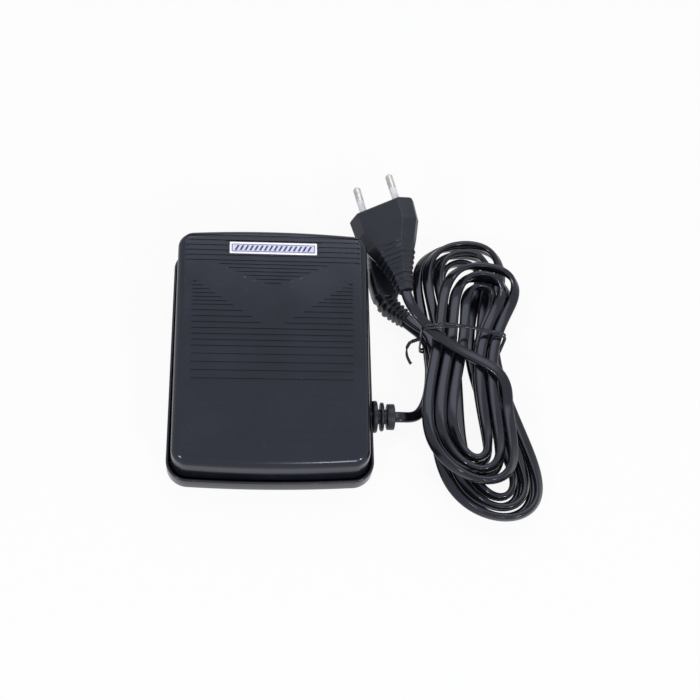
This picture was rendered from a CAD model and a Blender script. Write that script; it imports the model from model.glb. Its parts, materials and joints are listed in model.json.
"""Foot control of a sewing machine with its two flat cords, dressed for rendering.

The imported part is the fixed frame. This script lays the two cords, rebuilds the tread
cover, the tray, the label, the grommet, the mains plug, the machine connector, the wire
tie and the return springs as smooth surfaces, and gives every other piece its finish.
Lengths inside the classes are in millimetres; they become metres when a surface turns
into a mesh. Only the floor's side and the lamps are given in metres.
"""

import json
import logging
import math
from dataclasses import dataclass, field
from enum import Enum

import bmesh
import bpy
import numpy as np
from mathutils import Matrix, Vector

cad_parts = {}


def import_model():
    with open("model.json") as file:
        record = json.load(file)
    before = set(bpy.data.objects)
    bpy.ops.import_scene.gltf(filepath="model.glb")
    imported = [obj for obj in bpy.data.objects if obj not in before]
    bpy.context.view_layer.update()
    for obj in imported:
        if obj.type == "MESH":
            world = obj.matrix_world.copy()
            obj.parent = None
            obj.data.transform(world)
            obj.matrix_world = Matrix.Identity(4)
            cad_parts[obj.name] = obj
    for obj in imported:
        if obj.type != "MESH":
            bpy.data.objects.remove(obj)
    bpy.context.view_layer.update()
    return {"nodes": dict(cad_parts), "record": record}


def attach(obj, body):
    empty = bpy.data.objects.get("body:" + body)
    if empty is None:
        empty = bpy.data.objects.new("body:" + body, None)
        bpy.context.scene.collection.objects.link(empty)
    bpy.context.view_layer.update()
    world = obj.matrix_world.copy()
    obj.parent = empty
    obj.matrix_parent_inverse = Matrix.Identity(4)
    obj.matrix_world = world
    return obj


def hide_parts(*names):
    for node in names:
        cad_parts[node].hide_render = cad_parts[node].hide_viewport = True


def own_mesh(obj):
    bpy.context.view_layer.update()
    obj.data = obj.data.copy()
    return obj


LOG = logging.getLogger("foot_control")
MM = 0.001
Array = np.ndarray


# ---------------------------------------------------------------- geometry helpers


class Body(Enum):
    """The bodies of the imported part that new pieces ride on."""

    BASE = "base"
    PEDAL = "pedal"


def unit(v: Array) -> Array:
    """Rows of v scaled to length one."""
    return v / np.linalg.norm(v, axis=-1, keepdims=True)


def smoothstep(t: Array) -> Array:
    """0 below 0, 1 above 1 and 3t^2 - 2t^3 in between."""
    t = np.clip(t, 0.0, 1.0)
    return t * t * (3.0 - 2.0 * t)


def rounded_polygon(corners: Array, radius: float, arc: int) -> Array:
    """Rounds the corners of a convex polygon.

    Each corner is replaced by the arc of a circle of the given radius that touches both
    of its edges: the arc's centre lies on the corner's bisector at radius / sin(half angle).

    Args:
        corners: (n, 2) corners in anticlockwise order.
        radius: radius of the arcs.
        arc: points on each arc.

    Returns:
        (n * arc, 2) points in anticlockwise order.
    """
    back = unit(np.roll(corners, 1, axis=0) - corners)
    ahead = unit(np.roll(corners, -1, axis=0) - corners)
    half = np.arccos(np.clip((back * ahead).sum(1), -1, 1)) / 2
    centre = corners + unit(back + ahead) * (radius / np.sin(half))[:, None]
    first = centre + radius * np.stack([-back[:, 1], back[:, 0]], 1)
    start = np.arctan2(first[:, 1] - centre[:, 1], first[:, 0] - centre[:, 0])
    sweep = math.pi - 2 * half
    angle = start[:, None] + sweep[:, None] * np.linspace(0, 1, arc)[None, :]
    ring = centre[:, None, :] + radius * np.stack([np.cos(angle), np.sin(angle)], 2)
    return ring.reshape(-1, 2)


def bowed_outline(width: float, length: float, radius: float, bow: float, arc: int = 14,
                  edge: int = 24) -> Array:
    """Rounded rectangle whose two ends bow outwards.

    A rounded rectangle of half sizes a and b - bow, where y grows by
    bow * (1 - (x / a)^2) * (y / b)^2 towards the nearer end.

    Args:
        width: size along X.
        length: size along Y over the bowed ends.
        radius: plan radius of the corners.
        bow: how far the ends bow out at the middle.
        arc: points on each corner.
        edge: points on each straight edge between two corners.

    Returns:
        (n, 2) points in anticlockwise order.
    """
    a, b = width / 2, length / 2 - bow
    corner = np.radians(np.linspace(0, 90, arc))
    quarter = np.stack([a - radius + radius * np.cos(corner), b - radius + radius * np.sin(corner)], 1)
    run = np.linspace(1, -1, edge + 2)[1:-1]
    end = np.stack([(a - radius) * run, np.full(edge, b)], 1)
    side = np.stack([np.full(edge, -a), (b - radius) * run], 1)
    half = np.concatenate([quarter, end, quarter[::-1] * [-1, 1], side])
    points = np.concatenate([half, -half])
    lift = bow * (1 - (points[:, 0] / a) ** 2) * (points[:, 1] / b) ** 2
    points[:, 1] += np.sign(points[:, 1]) * lift
    return points


def smooth_route(route: Array, steps: int) -> Array:
    """Catmull-Rom curve through a route, whose first and last stretches stay straight.

    Args:
        route: (n, 3) points.
        steps: points on each stretch of the curve.

    Returns:
        (m, 3) points.
    """
    inner = route[1:-1]
    padded = np.concatenate([[2 * inner[0] - inner[1]], inner, [2 * inner[-1] - inner[-2]]])
    t = (np.arange(steps) / steps)[None, :, None]
    a, b, c, d = (padded[k:len(padded) - 3 + k, None, :] for k in range(4))
    curve = 0.5 * (2 * b + (c - a) * t + (2 * a - 5 * b + 4 * c - d) * t**2 + (3 * b - a - 3 * c + d) * t**3)
    return np.concatenate([route[:1], curve.reshape(-1, 3), inner[-1:], route[-1:]])


def resample(points: Array, values: Array, pitch: float, blur: int) -> tuple[Array, Array]:
    """Places points at equal distances along a path and eases its kinks.

    Args:
        points: (n, 3) path.
        values: (n,) values carried along the path.
        pitch: distance between the new points.
        blur: passes of a 1-2-1 average over the inner points.

    Returns:
        The new points and the values at them.
    """
    run = np.concatenate([[0], np.cumsum(np.linalg.norm(np.diff(points, axis=0), axis=1))])
    at = np.linspace(0, run[-1], max(8, int(run[-1] / pitch)))
    table = np.stack([np.interp(at, run, column) for column in [*points.T, values]], 1)
    for _ in range(blur):
        table[2:-2] = (table[1:-3] + 2 * table[2:-2] + table[3:-1]) / 4
    return table[:, :3], table[:, 3]


def path_length(points: Array) -> float:
    """Length of a path of points."""
    return float(np.linalg.norm(np.diff(points, axis=0), axis=1).sum())


def carried(path: Array, section: Array, roll: Array, size: Array) -> Array:
    """Carries a flat section along a path.

    The section's first axis is the level direction square to the path, its second the one
    square to both; roll turns the section about the path and size scales it.

    Args:
        path: (m, 3) points.
        section: (n, 2) points of the section, anticlockwise.
        roll: (m,) turn in degrees.
        size: (m, 2) scale of the section along its two axes.

    Returns:
        (m, n, 3) rings.
    """
    tangent = unit(np.gradient(path, axis=0))
    side = unit(np.cross(tangent, [0.0, 0.0, 1.0]))
    up = np.cross(side, tangent)
    angle = np.radians(roll)[:, None]
    u = section[None, :, 0] * size[:, :1]
    v = section[None, :, 1] * size[:, 1:]
    across = u * np.cos(angle) - v * np.sin(angle)
    above = u * np.sin(angle) + v * np.cos(angle)
    return path[:, None, :] + across[..., None] * side[:, None, :] + above[..., None] * up[:, None, :]


def circle(radius: float, count: int) -> Array:
    """Points of a circle about the origin, anticlockwise."""
    angle = np.linspace(0, 2 * math.pi, count, endpoint=False)
    return radius * np.stack([np.cos(angle), np.sin(angle)], 1)


@dataclass
class Surface:
    """Grids of points in millimetres that are joined into one closed mesh."""

    points: list[Array] = field(default_factory=list)
    faces: list[list[int]] = field(default_factory=list)

    def _add(self, grid: Array) -> Array:
        """Stores the points of a grid and returns their numbers in the same shape."""
        first = sum(len(p) for p in self.points)
        flat = grid.reshape(-1, 3)
        self.points.append(flat)
        return first + np.arange(len(flat)).reshape(grid.shape[:-1])

    def grid(self, grid: Array, wrap: bool = False) -> Array:
        """Adds a quad for each cell of a grid.

        Args:
            grid: (m, n, 3) points.
            wrap: whether the last column joins the first.

        Returns:
            (m, n) numbers of the points.
        """
        index = self._add(grid)
        cells = np.concatenate([index, index[:, :1]], 1) if wrap else index
        quads = np.stack([cells[:-1, :-1], cells[:-1, 1:], cells[1:, 1:], cells[1:, :-1]], 2)
        self.faces += quads.reshape(-1, 4).tolist()
        return index

    def loft(self, rings: Array, closed: bool = False) -> None:
        """Adds a skin over rings with both ends closed, or joined to each other if closed."""
        index = self.grid(rings, wrap=True)
        if closed:
            pair = np.stack([index[-1], index[0]])
            pair = np.concatenate([pair, pair[:, :1]], 1)
            quads = np.stack([pair[0, :-1], pair[0, 1:], pair[1, 1:], pair[1, :-1]], 1)
            self.faces += quads.tolist()
            return
        self.faces.append(index[0].tolist())
        self.faces.append(index[-1][::-1].tolist())

    def cap(self, ring: Array) -> None:
        """Adds one flat face over a ring of points."""
        self.faces.append(self._add(ring).tolist())

    def box(self, low: tuple[float, float, float], high: tuple[float, float, float],
            bevel: float = 0.3) -> None:
        """Adds a block whose upright edges and rims are broken by a small bevel."""
        lo, hi = np.array(low), np.array(high)
        mid, half = (lo + hi) / 2, (hi - lo) / 2
        insets = [(bevel, lo[2]), (0.0, lo[2] + bevel), (0.0, hi[2] - bevel), (bevel, hi[2])]
        rings = []
        for inset, z in insets:
            a, b = half[0] - inset, half[1] - inset
            plan = rounded_polygon(np.array([[a, b], [-a, b], [-a, -b], [a, -b]]), bevel, 4)
            rings.append(np.column_stack([plan + mid[:2], np.full(len(plan), z)]))
        self.loft(np.array(rings))

    def turned(self, profile: Array, origin: tuple[float, float, float], axis: int = 2,
               count: int = 48) -> None:
        """Adds a solid of revolution.

        Args:
            profile: (m, 2) radius and distance along the axis.
            origin: where the axis starts.
            axis: 0, 1 or 2 for an axis along X, Y or Z.
            count: points round the axis.
        """
        ring = circle(1.0, count)
        rings = np.zeros((len(profile), count, 3))
        plane = [(1, 2), (2, 0), (0, 1)][axis]
        rings[:, :, plane[0]] = profile[:, :1] * ring[None, :, 0]
        rings[:, :, plane[1]] = profile[:, :1] * ring[None, :, 1]
        rings[:, :, axis] = profile[:, 1:]
        self.loft(rings + np.array(origin))

    def piece(self, name: str, body: Body, crease: float = 32.0,
              turn: Matrix | None = None) -> bpy.types.Object:
        """Makes the mesh object, in metres, with merged seams and outward faces.

        Args:
            name: name of the piece.
            body: the body that it rides on.
            crease: angle in degrees past which an edge stays sharp.
            turn: a placing of the finished mesh, in millimetres.

        Returns:
            The object, riding on its body.
        """
        mesh = bpy.data.meshes.new(name)
        mesh.from_pydata(np.concatenate(self.points), [], self.faces)
        if turn is not None:
            mesh.transform(turn)
        mesh.transform(Matrix.Scale(MM, 4))
        work = bmesh.new()
        work.from_mesh(mesh)
        bmesh.ops.remove_doubles(work, verts=work.verts, dist=1e-3 * MM)
        bmesh.ops.recalc_face_normals(work, faces=work.faces)
        work.to_mesh(mesh)
        work.free()
        mesh.shade_smooth()
        mesh.set_sharp_from_angle(angle=math.radians(crease))
        made = bpy.data.objects.new(name, mesh)
        bpy.context.scene.collection.objects.link(made)
        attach(made, body.value)
        LOG.info("%s: %d faces", name, len(mesh.polygons))
        return made


# ---------------------------------------------------------------- finishes


class NodeTree:
    """Small helper that adds and wires shader nodes."""

    def __init__(self, tree: bpy.types.NodeTree) -> None:
        """Keeps the tree that nodes are added to."""
        self.tree = tree

    def add(self, kind: str, values: dict | None = None, **settings: object) -> bpy.types.Node:
        """Adds a node.

        Args:
            kind: Blender's name of the node type.
            values: input sockets and their values or the sockets that feed them.
            settings: properties of the node.

        Returns:
            The node.
        """
        node = self.tree.nodes.new(kind)
        for key, value in settings.items():
            setattr(node, key, value)
        for key, value in (values or {}).items():
            socket = node.inputs[key]
            if isinstance(value, bpy.types.NodeSocket):
                self.tree.links.new(value, socket)
            else:
                socket.default_value = value
        return node

    def link(self, source: bpy.types.NodeSocket, target: bpy.types.NodeSocket) -> None:
        """Wires one socket to another."""
        self.tree.links.new(source, target)


class Effects:
    """Node groups that several finishes share, each built once."""

    def __init__(self) -> None:
        """Builds the groups."""
        self.drift = self._drift()
        self.grain = self._grain()
        self.scuffs = self._scuffs()

    @staticmethod
    def _group(name: str, inputs: dict[str, float], outputs: list[str]) -> NodeTree:
        """Makes an empty group with number inputs, a vector input and number outputs."""
        tree = bpy.data.node_groups.new(name, "ShaderNodeTree")
        tree.interface.new_socket("Vector", in_out="INPUT", socket_type="NodeSocketVector")
        for key, value in inputs.items():
            socket = tree.interface.new_socket(key, in_out="INPUT", socket_type="NodeSocketFloat")
            socket.default_value = value
        for key in outputs:
            tree.interface.new_socket(key, in_out="OUTPUT", socket_type="NodeSocketFloat")
        return NodeTree(tree)

    def _drift(self) -> bpy.types.NodeTree:
        """Slow change over the surface: soft noise, spread to the full range from 0 to 1."""
        g = self._group("surface_drift", {"Scale": 30.0}, ["Factor"])
        source = g.add("NodeGroupInput").outputs
        noise = g.add("ShaderNodeTexNoise", {"Vector": source["Vector"], "Scale": source["Scale"], "Detail": 3.0})
        spread = g.add("ShaderNodeMapRange", {"Value": noise.outputs["Fac"], "From Min": 0.3, "From Max": 0.7})
        g.add("NodeGroupOutput", {"Factor": spread.outputs["Result"]})
        return g.tree

    def _grain(self) -> bpy.types.NodeTree:
        """Moulded grain: fine noise with a coarser one under it."""
        g = self._group("moulded_grain", {"Scale": 2500.0, "Coarse": 0.3}, ["Height"])
        source = g.add("NodeGroupInput").outputs
        fine = g.add("ShaderNodeTexNoise", {"Vector": source["Vector"], "Scale": source["Scale"], "Detail": 2.0})
        wide = g.add("ShaderNodeMath", {0: source["Scale"], 1: 0.06}, operation="MULTIPLY")
        coarse = g.add("ShaderNodeTexNoise", {"Vector": source["Vector"], "Scale": wide.outputs[0], "Detail": 2.0})
        share = g.add("ShaderNodeMath", {0: coarse.outputs["Fac"], 1: source["Coarse"]}, operation="MULTIPLY")
        total = g.add("ShaderNodeMath", {0: fine.outputs["Fac"], 1: share.outputs[0]}, operation="ADD")
        g.add("NodeGroupOutput", {"Height": total.outputs[0]})
        return g.tree

    def _scuffs(self) -> bpy.types.NodeTree:
        """Handling marks: thin broken scratches and a few specks of dust.

        Scratches are the narrow crests of noise that is stretched along one slanted line and
        broken by a second noise; specks are the cores of scattered cells.
        """
        g = self._group("handling_marks", {"Scale": 90.0, "Scratches": 0.5, "Specks": 0.5}, ["Mask", "Height"])
        source = g.add("NodeGroupInput").outputs
        turned = g.add("ShaderNodeMapping", {"Vector": source["Vector"], "Rotation": (0.0, 0.0, 0.5),
                                             "Scale": (1.0, 9.0, 1.0)})
        lines = g.add("ShaderNodeTexNoise", {"Vector": turned.outputs[0], "Scale": source["Scale"], "Detail": 5.0})
        level = g.add("ShaderNodeMath", {0: lines.outputs["Fac"], 1: 0.5}, operation="SUBTRACT")
        near = g.add("ShaderNodeMath", {0: level.outputs[0]}, operation="ABSOLUTE")
        crest = g.add("ShaderNodeMapRange", {"Value": near.outputs[0], "From Min": 0.0, "From Max": 0.006,
                                             "To Min": 1.0, "To Max": 0.0})
        breaks = g.add("ShaderNodeTexNoise", {"Vector": source["Vector"], "Scale": source["Scale"], "Detail": 1.0})
        kept = g.add("ShaderNodeMapRange", {"Value": breaks.outputs["Fac"], "From Min": 0.56, "From Max": 0.66})
        scratch = g.add("ShaderNodeMath", {0: crest.outputs[0], 1: kept.outputs[0]}, operation="MULTIPLY")
        amount = g.add("ShaderNodeMath", {0: scratch.outputs[0], 1: source["Scratches"]}, operation="MULTIPLY")
        wide = g.add("ShaderNodeMath", {0: source["Scale"], 1: 2.2}, operation="MULTIPLY")
        cells = g.add("ShaderNodeTexVoronoi", {"Vector": source["Vector"], "Scale": wide.outputs[0]})
        core = g.add("ShaderNodeMapRange", {"Value": cells.outputs["Distance"], "From Min": 0.03,
                                            "From Max": 0.075, "To Min": 1.0, "To Max": 0.0})
        specks = g.add("ShaderNodeMath", {0: core.outputs[0], 1: source["Specks"]}, operation="MULTIPLY")
        mask = g.add("ShaderNodeMath", {0: amount.outputs[0], 1: specks.outputs[0]}, operation="MAXIMUM")
        g.add("NodeGroupOutput", {"Mask": mask.outputs[0], "Height": scratch.outputs[0]})
        return g.tree


@dataclass(frozen=True)
class Finish:
    """One procedural finish: a colour that drifts, a grain, handling marks and a gloss."""

    name: str
    colour: tuple[float, float, float]
    other: tuple[float, float, float]
    roughness: float
    rough_change: float = 0.08
    metallic: float = 0.0
    drift_scale: float = 40.0
    grain_scale: float = 2600.0
    grain_depth: float = 0.02
    scratches: float = 0.3
    specks: float = 0.2
    mark_scale: float = 90.0
    mark_colour: tuple[float, float, float] = (0.30, 0.30, 0.32)
    specular: float = 0.5
    tint: tuple[float, float, float] = (1.0, 1.0, 1.0)

    def material(self, effects: Effects) -> bpy.types.Material:
        """Builds the material.

        Base colour runs between the two colours with the drift and takes the marks' colour
        where they lie; roughness follows the drift and the marks; grain and scratches feed
        the bump.

        Args:
            effects: the shared node groups.

        Returns:
            The material.
        """
        made = bpy.data.materials.new(self.name)
        made.use_nodes = True
        made.node_tree.nodes.clear()
        t = NodeTree(made.node_tree)
        place = t.add("ShaderNodeTexCoord").outputs["Object"]
        drift = self._group(t, effects.drift, place, {"Scale": self.drift_scale}).outputs["Factor"]
        marks = self._group(t, effects.scuffs, place, {"Scale": self.mark_scale, "Scratches": self.scratches,
                                                       "Specks": self.specks})
        grain = self._group(t, effects.grain, place, {"Scale": self.grain_scale}).outputs["Height"]
        base = t.add("ShaderNodeMix", {0: drift, 6: (*self.colour, 1.0), 7: (*self.other, 1.0)}, data_type="RGBA")
        worn = t.add("ShaderNodeMix", {0: marks.outputs["Mask"], 6: base.outputs[2], 7: (*self.mark_colour, 1.0)},
                     data_type="RGBA")
        rough = t.add("ShaderNodeMapRange", {"Value": drift, "To Min": self.roughness,
                                             "To Max": self.roughness + self.rough_change})
        dulled = t.add("ShaderNodeMath", {0: marks.outputs["Mask"], 1: 0.25, 2: rough.outputs[0]},
                       operation="MULTIPLY_ADD", use_clamp=True)
        height = t.add("ShaderNodeMath", {0: marks.outputs["Height"], 1: -0.6, 2: grain}, operation="MULTIPLY_ADD")
        bump = t.add("ShaderNodeBump", {"Height": height.outputs[0], "Strength": 1.0,
                                        "Distance": self.grain_depth * MM})
        shader = t.add("ShaderNodeBsdfPrincipled", {"Base Color": worn.outputs[2], "Roughness": dulled.outputs[0],
                                                    "Normal": bump.outputs[0], "Metallic": self.metallic,
                                                    "Specular IOR Level": self.specular,
                                                    "Specular Tint": (*self.tint, 1.0)})
        t.add("ShaderNodeOutputMaterial", {"Surface": shader.outputs[0]})
        return made

    @staticmethod
    def _group(t: NodeTree, tree: bpy.types.NodeTree, place: bpy.types.NodeSocket,
               values: dict) -> bpy.types.Node:
        """Places a shared group in the material with its own values."""
        node = t.add("ShaderNodeGroup", node_tree=tree)
        t.link(place, node.inputs["Vector"])
        for key, value in values.items():
            node.inputs[key].default_value = value
        return node


# Tint of the gloss on the black mouldings
COOL = (0.78, 0.82, 1.0)
# Finishes by the record's slot names
FINISHES: dict[str, Finish] = {
    "cover_black": Finish("polished_black", (0.007, 0.008, 0.013), (0.011, 0.012, 0.019), 0.13, 0.06,
                          grain_depth=0.004, scratches=0.05, specks=0.05, mark_scale=60.0, specular=0.42,
                          tint=COOL),
    "tray_black": Finish("moulded_black", (0.009, 0.009, 0.013), (0.014, 0.014, 0.019), 0.17, 0.1,
                         grain_depth=0.008, scratches=0.14, specks=0.12, specular=0.4, tint=COOL),
    "foot_rubber": Finish("foot_rubber", (0.02, 0.02, 0.02), (0.035, 0.034, 0.033), 0.75, grain_depth=0.08),
    "pin_steel": Finish("hinge_pin", (0.6, 0.6, 0.62), (0.7, 0.7, 0.72), 0.28, metallic=1.0, drift_scale=200.0),
    "clip_steel": Finish("oiled_clip", (0.22, 0.21, 0.2), (0.32, 0.31, 0.3), 0.35, metallic=1.0),
    "board_brown": Finish("phenolic_board", (0.26, 0.15, 0.06), (0.36, 0.22, 0.09), 0.5, drift_scale=150.0),
    "screw_steel": Finish("zinc_screw", (0.62, 0.63, 0.66), (0.7, 0.68, 0.6), 0.3, metallic=1.0, drift_scale=400.0),
    "pot_blue": Finish("regulator_case", (0.06, 0.1, 0.22), (0.08, 0.13, 0.27), 0.42),
    "triac_black": Finish("epoxy_black", (0.02, 0.02, 0.02), (0.035, 0.035, 0.036), 0.5),
    "sink_alu": Finish("extruded_fins", (0.66, 0.67, 0.69), (0.76, 0.77, 0.78), 0.36, metallic=1.0),
    "coil_copper": Finish("enamelled_wire", (0.55, 0.22, 0.07), (0.7, 0.32, 0.1), 0.3, metallic=0.7),
    "capacitor_yellow": Finish("capacitor_case", (0.72, 0.52, 0.06), (0.8, 0.6, 0.1), 0.32),
    "component_tan": Finish("lacquered_parts", (0.52, 0.38, 0.22), (0.66, 0.5, 0.3), 0.35, drift_scale=300.0),
    "terminal_green": Finish("terminal_case", (0.05, 0.28, 0.1), (0.08, 0.36, 0.14), 0.4),
    "wire_brown": Finish("wire_sheath", (0.2, 0.07, 0.03), (0.28, 0.1, 0.04), 0.35),
    "clamp_white": Finish("clamp_nylon", (0.72, 0.71, 0.66), (0.8, 0.79, 0.74), 0.45),
    "pad_rubber": Finish("stop_pad", (0.03, 0.03, 0.03), (0.05, 0.05, 0.05), 0.8, grain_depth=0.06),
    "spring_steel": Finish("spring_wire", (0.62, 0.62, 0.64), (0.72, 0.72, 0.74), 0.22, metallic=1.0),
    "label_lilac": Finish("label_face", (0.66, 0.66, 0.86), (0.76, 0.76, 0.93), 0.3, 0.05, grain_depth=0.006,
                          drift_scale=160.0, scratches=0.1, specks=0.05),
    "arm_steel": Finish("stamped_arm", (0.42, 0.42, 0.44), (0.52, 0.52, 0.54), 0.34, metallic=1.0),
    "wiper_white": Finish("wiper_block", (0.74, 0.74, 0.7), (0.82, 0.82, 0.78), 0.4),
    "grommet_black": Finish("grommet_rubber", (0.010, 0.010, 0.013), (0.016, 0.016, 0.020), 0.36, 0.1,
                            grain_depth=0.02, specks=0.05, specular=0.42, tint=COOL),
    "cord_black": Finish("cord_sheath", (0.004, 0.004, 0.007), (0.008, 0.008, 0.012), 0.12, 0.12, drift_scale=55.0,
                         grain_depth=0.008, scratches=0.08, specks=0.03, mark_scale=120.0, specular=0.42,
                         tint=COOL),
    "tie_black": Finish("tie_sheath", (0.004, 0.004, 0.006), (0.008, 0.008, 0.011), 0.22, drift_scale=120.0,
                        grain_depth=0.008, scratches=0.05, specks=0.0, specular=0.42, tint=COOL),
    "plug_black": Finish("plug_moulding", (0.009, 0.010, 0.014), (0.014, 0.015, 0.020), 0.32, 0.08,
                         grain_depth=0.012, scratches=0.1, specks=0.05, specular=0.42, tint=COOL),
    "pin_nickel": Finish("nickel_pin", (0.36, 0.35, 0.35), (0.62, 0.60, 0.60), 0.34, metallic=0.9,
                         drift_scale=420.0, grain_depth=0.03),
    "sleeve_grey": Finish("pin_sleeve", (0.78, 0.78, 0.80), (0.86, 0.86, 0.88), 0.35),
    "contact_brass": Finish("socket_contact", (0.62, 0.44, 0.16), (0.72, 0.54, 0.2), 0.28, metallic=1.0),
}
LABEL_RIM = Finish("label_rim", (0.84, 0.84, 0.88), (0.92, 0.92, 0.94), 0.22, 0.05, metallic=0.2,
                   grain_depth=0.004, scratches=0.08, specks=0.0)
LABEL_INK = Finish("label_ink", (0.02, 0.022, 0.10), (0.035, 0.04, 0.14), 0.35, grain_depth=0.004, scratches=0.0,
                   specks=0.0)


class Wardrobe:
    """Materials by the record's slot name."""

    def __init__(self) -> None:
        """Builds every material once."""
        effects = Effects()
        self.by_slot = {slot: finish.material(effects) for slot, finish in FINISHES.items()}
        self.rim = LABEL_RIM.material(effects)
        self.ink = LABEL_INK.material(effects)

    def dress(self, piece: bpy.types.Object, slot: str, material: bpy.types.Material | None = None) -> None:
        """Gives a new piece its material and names the record's slot that it stands for."""
        piece.data.materials.append(material or self.by_slot[slot])

    def dress_nodes(self, nodes: dict[str, bpy.types.Object], record: dict) -> None:
        """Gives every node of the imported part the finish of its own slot.

        Args:
            nodes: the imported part's nodes.
            record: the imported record, which names each node's slot.
        """
        slots = {entry["node"]: entry["material_slot"] for entry in record["subparts"]}
        for name, node in nodes.items():
            for place in node.material_slots:
                place.material = self.by_slot[slots[name]]


# ---------------------------------------------------------------- camera and stage


@dataclass(frozen=True)
class Viewpoint:
    """Camera of the photographed view: height, turn and roll about a target on the floor."""

    elevation: float = 61.2
    yaw: float = -10.9
    roll: float = 10.6
    distance: float = 600.0
    target: tuple[float, float, float] = (41.0, 15.0, 0.0)
    focal: float = 1157.0
    frame: float = 700.0
    sensor: float = 36.0

    def place(self) -> bpy.types.Object:
        """Makes the scene's camera.

        The camera looks at the target along the direction given by elevation and yaw, and
        its up vector is turned by the roll about that direction.

        Returns:
            The camera.
        """
        up_angle, yaw, roll = (math.radians(v) for v in (self.elevation, self.yaw, self.roll))
        back = Vector((math.sin(yaw) * math.cos(up_angle), -math.cos(yaw) * math.cos(up_angle),
                       math.sin(up_angle)))
        level = Vector((math.cos(yaw), math.sin(yaw), 0.0))
        upright = back.cross(level)
        right = math.cos(roll) * level + math.sin(roll) * upright
        above = math.cos(roll) * upright - math.sin(roll) * level
        data = bpy.data.cameras.new("camera")
        data.sensor_width = self.sensor
        data.lens = self.sensor * self.focal / self.frame
        data.clip_start = 0.01
        camera = bpy.data.objects.new("camera", data)
        where = (Vector(self.target) + self.distance * back) * MM
        camera.matrix_world = Matrix.Translation(where) @ Matrix((right, above, back)).transposed().to_4x4()
        bpy.context.scene.collection.objects.link(camera)
        bpy.context.scene.camera = camera
        bpy.context.scene.view_settings.view_transform = "Standard"
        return camera


@dataclass(frozen=True)
class SoftBox:
    """One soft lamp, aimed at the object."""

    name: str
    where: tuple[float, float, float]
    size: float
    power: float

    def place(self) -> None:
        """Adds the lamp."""
        data = bpy.data.lights.new(self.name, "AREA")
        data.size = self.size
        data.energy = self.power
        lamp = bpy.data.objects.new(self.name, data)
        where = Vector(self.where)
        lamp.matrix_world = Matrix.Translation(where) @ where.to_track_quat("Z", "Y").to_matrix().to_4x4()
        bpy.context.scene.collection.objects.link(lamp)


def seen_directly(t: NodeTree) -> bpy.types.NodeSocket:
    """1 for rays that come straight from the view or by way of a gloss or a glass."""
    path = t.add("ShaderNodeLightPath").outputs
    some = t.add("ShaderNodeMath", {0: path["Is Camera Ray"], 1: path["Is Glossy Ray"]}, operation="MAXIMUM")
    return t.add("ShaderNodeMath", {0: some.outputs[0], 1: path["Is Transmission Ray"]},
                 operation="MAXIMUM").outputs[0]


class Stage:
    """White floor, plain surroundings and soft lamps."""

    # Side of the floor in metres, its place under the feet in millimetres, and the share of
    # plain white in it where it is seen
    FLOOR = 3.0
    BELOW = 0.05
    GLOW = 0.92
    LAMPS = (
        SoftBox("left_box", (-0.85, -0.95, 0.95), 0.17, 6.4),
        SoftBox("right_box", (0.8, -1.0, 0.95), 0.17, 6.4),
        SoftBox("front_box", (0.25, -1.3, 0.9), 0.2, 2.8),
        SoftBox("top_box", (0.1, 0.90, 1.4), 1.0, 6.0),
    )

    def build(self) -> None:
        """Makes the floor, the surroundings and the lamps."""
        surface = Surface()
        half = self.FLOOR / 2 / MM
        across = np.linspace(-half, half, 5)
        x, y = np.meshgrid(across, across)
        surface.grid(np.stack([x, y, np.full_like(x, -self.BELOW)], 2))
        mesh = bpy.data.meshes.new("floor")
        mesh.from_pydata(np.concatenate(surface.points), [], surface.faces)
        mesh.transform(Matrix.Scale(MM, 4))
        floor = bpy.data.objects.new("floor", mesh)
        bpy.context.scene.collection.objects.link(floor)
        floor.data.materials.append(self._floor_material())
        self._surroundings()
        for lamp in self.LAMPS:
            lamp.place()

    def _floor_material(self) -> bpy.types.Material:
        """White paper that stays white where it is seen, and still keeps a soft shadow."""
        made = bpy.data.materials.new("paper")
        made.use_nodes = True
        made.node_tree.nodes.clear()
        t = NodeTree(made.node_tree)
        paper = t.add("ShaderNodeBsdfDiffuse", {"Color": (0.86, 0.86, 0.86, 1.0)})
        glow = t.add("ShaderNodeEmission", {"Color": (1.0, 1.0, 1.0, 1.0), "Strength": 1.0})
        seen = t.add("ShaderNodeMath", {0: seen_directly(t), 1: self.GLOW}, operation="MULTIPLY")
        mixed = t.add("ShaderNodeMixShader", {0: seen.outputs[0], 1: paper.outputs[0], 2: glow.outputs[0]})
        t.add("ShaderNodeOutputMaterial", {"Surface": mixed.outputs[0]})
        return made

    def _surroundings(self) -> None:
        """Even light from all round, a little cooler than the lamps, white where it is seen."""
        world = bpy.data.worlds.new("surroundings")
        world.use_nodes = True
        world.node_tree.nodes.clear()
        t = NodeTree(world.node_tree)
        light = t.add("ShaderNodeBackground", {"Color": (0.88, 0.93, 1.0, 1.0), "Strength": 0.45})
        white = t.add("ShaderNodeBackground", {"Color": (1.0, 1.0, 1.0, 1.0), "Strength": 1.0})
        mixed = t.add("ShaderNodeMixShader", {0: seen_directly(t), 1: light.outputs[0], 2: white.outputs[0]})
        t.add("ShaderNodeOutputWorld", {"Surface": mixed.outputs[0]})
        bpy.context.scene.world = world


# ---------------------------------------------------------------- cords


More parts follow.
